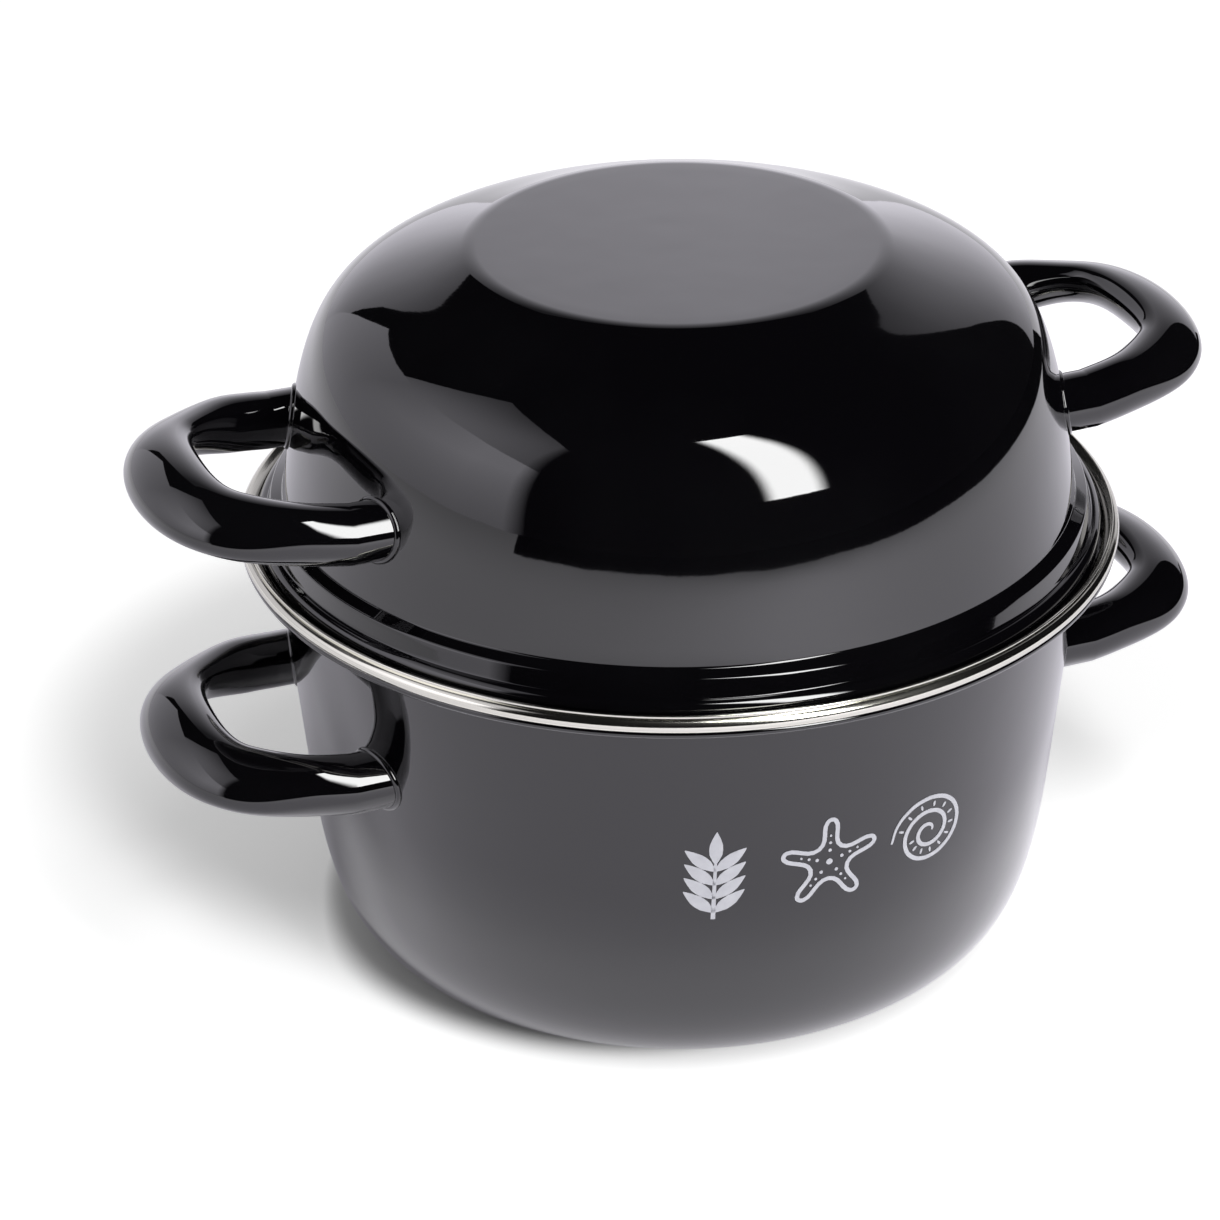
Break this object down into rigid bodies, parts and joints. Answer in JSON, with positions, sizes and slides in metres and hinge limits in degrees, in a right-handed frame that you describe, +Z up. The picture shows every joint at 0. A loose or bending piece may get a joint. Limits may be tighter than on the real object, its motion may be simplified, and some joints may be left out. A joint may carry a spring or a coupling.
{
  "type": "mussel pot",
  "caption": "Deep round enamelled pot with a domed lid that turns over to hold shells, loop handles on both, a steel rim and a white sea-life print.",
  "frame": {"origin": "centre of the pot's flat base, on the table", "axes": "+Z up through the middle of the lid, handles along +X and -X, print on the -Y side"},
  "size_m": [0.2852, 0.224, 0.1898],
  "materials": {
    "black_enamel": "glossy vitreous enamel on steel",
    "polished_steel": "polished",
    "white_enamel": "fired print, glossy"
  },
  "bodies": {
    "root": {"pot_shell": "black_enamel", "pot_rim": "polished_steel", "pot_handle_left": "black_enamel", "pot_handle_right": "black_enamel", "lid_shell": "black_enamel", "lid_handle_left": "black_enamel", "lid_handle_right": "black_enamel", "wall_print": "white_enamel"}
  },
  "joints": []
}
